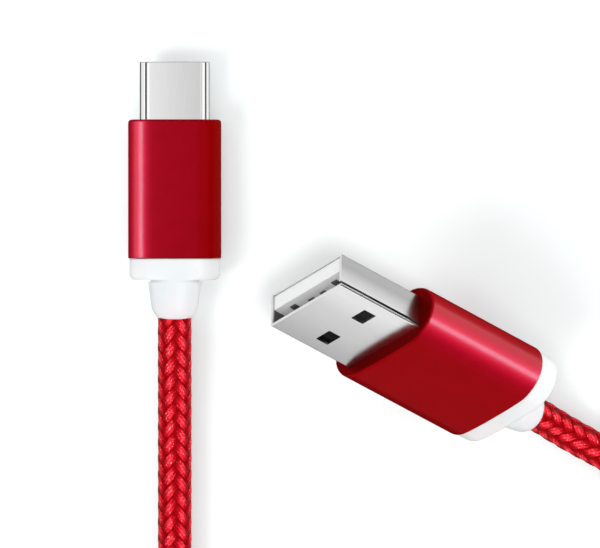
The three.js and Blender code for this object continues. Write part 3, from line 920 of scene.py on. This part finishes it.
def strap_loop():
    """The strap's closed run round the coil's bundle, as rings across its own section."""
    width = TIE["outer"] - TIE["inner"] + 2 * TIE["thickness"]
    height = TIE["height"] - TIE["thickness"]
    path = section(width - TIE["thickness"], height, 0, TIE_WEAVE["corner"], TIE_WEAVE["arc"])
    thin, broad = TIE["thickness"] / 2, TIE["width"] / 2
    edge, selvedge, step, slope = (TIE_WEAVE[k] for k in ("edge", "selvedge", "step", "slope"))
    profile = [
        (-thin, -broad + edge), (0.0, -broad), (thin, -broad + edge), (thin, -broad + selvedge),
        (thin - step, -broad + selvedge + slope), (thin - step, broad - selvedge - slope),
        (thin, broad - selvedge), (thin, broad - edge), (0.0, broad), (-thin, broad - edge),
    ]
    rings = []
    for i, (x, _, z) in enumerate(path):
        before, after = Vector(path[i - 1]), Vector(path[(i + 1) % len(path)])
        run = (after - before).normalized()
        out = Vector((run.z, 0, -run.x))
        rings.append([(x + out.x * t, y, z + out.z * t) for t, y in profile])
    return rings


def cable_tie(material):
    """The strap round the coil, and its tail pressed flat on top."""
    centre = (TIE["inner"] + TIE["outer"]) / 2
    middle = TIE["bottom"] + TIE["height"] / 2
    matrix = (
        Matrix.Translation(Vector((COIL["x"], COIL["y"], 0)) * MM)
        @ Matrix.Rotation(math.radians(TIE["angle"]), 4, "Z")
        @ Matrix.Translation(Vector((centre, 0, middle)) * MM)
    )
    piece = mesh_object("cable_tie_strap", *loft(strap_loop()), matrix)
    smooth(piece, TIE_CREASE)
    finish_piece(piece, material, ["cable_tie"])

    top = TIE["height"] / 2
    length, thickness, edge = (TIE_TAIL[k] for k in ("length", "thickness", "edge"))
    corner, arc = TIE_TAIL["corner"], TIE_TAIL["arc"]
    rings = []
    for inset, run in [(edge, 0.0), (0.0, edge), (0.0, thickness - edge), (edge, thickness)]:
        outline = section(length - 2 * inset, TIE["width"] - 2 * inset, 0, corner - inset, arc)
        rings.append([(x, z, top + run) for x, _, z in outline])
    tail = mesh_object("cable_tie_tail", *capped(rings), matrix)
    smooth(tail, TIE_CREASE)
    finish_piece(tail, material, [])
    return [piece, tail]


# ---------------------------------------------------------------- carried-over CAD nodes


def dress(node, material, edge):
    """Gives a CAD node its finished material and softens its edges."""
    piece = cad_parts[node]
    piece.data.materials.clear()
    piece.data.materials.append(material)
    if edge:
        bevel(piece, edge, 35.0)


def dress_inner_parts(metal):
    resin_tones = (0.72, 0.70, 0.64), (0.66, 0.64, 0.57)
    resin = moulded("clear_resin", *resin_tones, 0.32, Transmission_Weight=0.25)
    black = moulded("black_nylon", (0.020, 0.020, 0.022), (0.028, 0.028, 0.030), 0.42)
    ceramic = moulded("resistor_glaze", (0.012, 0.012, 0.013), (0.03, 0.03, 0.03), 0.22)
    dress("a_tongue", insulator(), 0.08)
    dress("c_contact_block", black, 0.05)
    dress("c_board", circuit_board(), 0.03)
    dress("c_pullup_resistor", ceramic, 0.04)
    for node in ("a_inner_mould", "c_inner_mould"):
        dress(node, resin, 0.05)
    for spring in ("latch_arm_left", "latch_arm_right", "shield_spring_upper", "shield_spring_lower"):
        dress(f"c_{spring}", metal, 0.02)
    plated = gold("contact_gold", (0.83, 0.60, 0.22), (0.70, 0.52, 0.24))
    # Painted shade: the USB-A contacts inside the shell take a greyer, rougher copy of the gold.
    shaded_gold = gold("contact_gold_shaded", (0.52, 0.50, 0.46), (0.36, 0.35, 0.33), 0.45, 0.6)
    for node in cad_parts:
        if "_contact_" in node and node != "c_contact_block":
            dress(node, plated if node.startswith("c_") else shaded_gold, 0.02)
    skins = {
        "red": (0.55, 0.02, 0.03),
        "black": (0.022, 0.022, 0.024),
        "green": (0.04, 0.30, 0.10),
        "white": (0.80, 0.79, 0.76),
    }
    for color, value in skins.items():
        skin = wire_skin(f"wire_skin_{color}", value)
        for plug in "ac":
            dress(f"{plug}_wire_{color}", skin, 0)


# ---------------------------------------------------------------- light and ground


def strip_light(name, piece, matrix, toward, width, color):
    """A long soft light along a plug's axis, from that direction, that shines on one piece."""
    data = bpy.data.lights.new(name, "AREA")
    data.shape = "RECTANGLE"
    data.size = STRIP["length"] * MM
    data.size_y = width * MM
    data.energy = math.pi * data.size * data.size_y
    data.color = color
    data.cycles.max_bounces = 0
    light = bpy.data.objects.new(name, data)
    back = Vector(toward).normalized()
    axis = matrix.to_3x3() @ Vector((0, 1, 0))
    flat = (axis - axis.dot(back) * back).normalized()
    turn = Matrix((flat, back.cross(flat), back)).transposed().to_4x4()
    middle = matrix @ (Vector((0, STRIP["middle"], 0)) * MM)
    light.matrix_world = Matrix.Translation(middle + back * STRIP["distance"] * MM) @ turn
    bpy.context.scene.collection.objects.link(light)
    light.light_linking.receiver_collection = collection_of(f"{name}_lights", [piece])
    light.light_linking.blocker_collection = collection_of(f"{name}_blockers", [piece])


def collection_of(name, pieces):
    group = bpy.data.collections.new(name)
    for piece in pieces:
        group.objects.link(piece)
    return group


def soft_sun(name, toward, angle, strength, lit, blockers):
    """A lamp from far away, wide enough to blur the shadows that its blockers throw."""
    data = bpy.data.lights.new(name, "SUN")
    data.energy = strength
    data.angle = math.radians(angle)
    sun = bpy.data.objects.new(name, data)
    sun.rotation_euler = Vector(toward).to_track_quat("Z", "Y").to_euler()
    bpy.context.scene.collection.objects.link(sun)
    sun.light_linking.receiver_collection = collection_of(f"{name}_lights", lit)
    sun.light_linking.blocker_collection = collection_of(f"{name}_blockers", blockers)


def studio_dome():
    """Pale all round, leaning aside: a broad dark ring above the horizon and a dark foot."""
    world = bpy.data.worlds.new("studio")
    world.use_nodes = True
    tree = world.node_tree
    place = tree.nodes.new("ShaderNodeTexCoord")
    height = tree.nodes.new("ShaderNodeVectorMath")
    height.operation = "DOT_PRODUCT"
    lean = math.radians(DOME_LEAN)
    tree.links.new(place.outputs["Generated"], height.inputs[0])
    height.inputs[1].default_value = (math.sin(lean), 0.0, math.cos(lean))
    ramp = tree.nodes.new("ShaderNodeValToRGB")
    stops = [
        (-0.74, 0.10), (-0.63, 0.75), (-0.25, 0.75), (-0.16, 0.92), (-0.08, 0.62), (0.10, 1.0),
        (0.28, 1.0), (0.37, 0.03), (0.60, 0.03), (0.69, 0.85), (0.80, 1.0), (0.90, 0.98),
        (0.945, 0.75), (0.985, 0.55), (1.0, 0.68),
    ]
    elements = ramp.color_ramp.elements
    while len(elements) < len(stops):
        elements.new(0.5)
    for element, (position, level) in zip(elements, stops):
        element.position = (position + 1) / 2
        element.color = (level, level, level, 1.0)
    spread = tree.nodes.new("ShaderNodeMapRange")
    spread.inputs["From Min"].default_value = -1.0
    tree.links.new(height.outputs["Value"], spread.inputs["Value"])
    tree.links.new(spread.outputs["Result"], ramp.inputs["Fac"])
    tree.links.new(ramp.outputs["Color"], tree.nodes["Background"].inputs["Color"])
    tree.nodes["Background"].inputs["Strength"].default_value = 1.4
    bpy.context.scene.world = world


def light_the_studio():
    """The dome, suns that shade the ground or light the soft pieces, and each sleeve's strips."""
    studio_dome()
    pieces = [piece for piece in bpy.context.scene.objects if piece.type == "MESH"]
    metals = (c_sleeve, a_sleeve, c_shell, a_shell)
    matte = [piece for piece in pieces if piece not in [*metals, ground, cord]]
    a_plug = [a_sleeve, a_shell, a_cap]
    others = [piece for piece in pieces if piece not in [*a_plug, ground]]
    soft_sun("low_sun", (-0.85, -0.5, 1.0), 24, 1.6, [ground], others)
    soft_sun("high_sun", (-0.08, -0.10, 1.0), 12, 0.38, [ground], a_plug)
    soft_sun("nose_sun", (0.07, -0.08, 1.0), 9, 1.3, [ground], [a_shell])
    soft_sun("top_sun", (0.45, -0.20, 1.0), 20, 1.0, matte, matte)
    soft_sun("cord_sun", (0.10, -0.20, 1.0), 20, 4.4, [cord], [cord])
    strip_light("strip_c", c_sleeve, C_PLUG, (-0.875, 0.0, 0.485), 64, (9.0, 155.0, 175.0))
    strip_light("glow_c", c_sleeve, C_PLUG, (-0.95, 0.0, 0.31), 220, (1.2, 26.0, 24.0))
    strip_light("fill_c", c_sleeve, C_PLUG, (0.90, 0.0, 0.44), 240, (0.5, 0.0, 0.0))
    strip_light("strip_a", a_sleeve, A_PLUG, (0.900, -0.250, 0.360), 50, (10.0, 165.0, 195.0))
    strip_light("glow_a", a_sleeve, A_PLUG, (0.95, 0.22, 0.02), 300, (0.95, 22.0, 22.0))


def floor():
    half = 3000.0
    vertices = [(-half, -half, 0), (half, -half, 0), (half, half, 0), (-half, half, 0)]
    sweep = raw_object("floor", vertices, [(0, 1, 2, 3)])
    sweep.data.materials.append(paper_floor())
    sweep.visible_glossy = False
    return sweep


# ---------------------------------------------------------------- the scene

make_camera()

metal = nickel("bright_nickel", 0.07, 0.12)
# The USB-A shell's plate carries a painted reflection and a painted highlight on its rim.
satin_metal = nickel("satin_nickel", 0.20, 0.26, A_PAINTED_SHADES)
# Painted shade: the sleeves' front faces take a darker copy of the red, and the USB-C sleeve a slightly
# darker copy than the USB-A sleeve.
shaded_face_red = anodised_red("anodised_red_face_shaded", 0.62)
c_red = (anodised_red("anodised_red_c", 0.86), shaded_face_red)
a_red = (anodised_red("anodised_red_a", 1.0), shaded_face_red)
cap_white = moulded("white_cap", (0.88, 0.875, 0.87), (0.86, 0.855, 0.85), 0.42, Subsurface_Weight=0.15)

cord, cord_path, cord_length = braided_cord(braid_red())
tie_pieces = cable_tie(strap_black())
for soft_piece in [cord, *tie_pieces]:
    soft_piece.visible_glossy = False

c_hole = (C_SHELL["width"] + 2 * SNUG, C_SHELL["height"] + 2 * SNUG, 10.0)
a_hole = (A_SHELL["width"] + 2 * SNUG, A_SHELL["height"] + 2 * SNUG, A_SHELL["corner"] + SNUG)
c_sleeve = sleeve("usb_c_sleeve", C_SLEEVE, c_hole, C_PLUG, c_red, "c_sleeve")
a_sleeve = sleeve("usb_a_sleeve", A_SLEEVE, a_hole, A_PLUG, a_red, "a_sleeve")
c_cap = end_cap("usb_c_end_cap", C_CAP, C_SLEEVE, C_PLUG, cap_white, "c_end_cap")
a_cap = end_cap("usb_a_end_cap", A_CAP, A_SLEEVE, A_PLUG, cap_white, "a_end_cap")
# Dark steel as painted shade inside the shells and on the USB-C lip.
shaded_inner_metal = shaded_inner_steel()
c_shell = usb_c_shell(metal, shaded_inner_metal)
a_shell = usb_a_shell(satin_metal, shaded_inner_metal)
dress_inner_parts(metal)

ground = floor()
light_the_studio()
bpy.context.scene.view_settings.view_transform = "Standard"
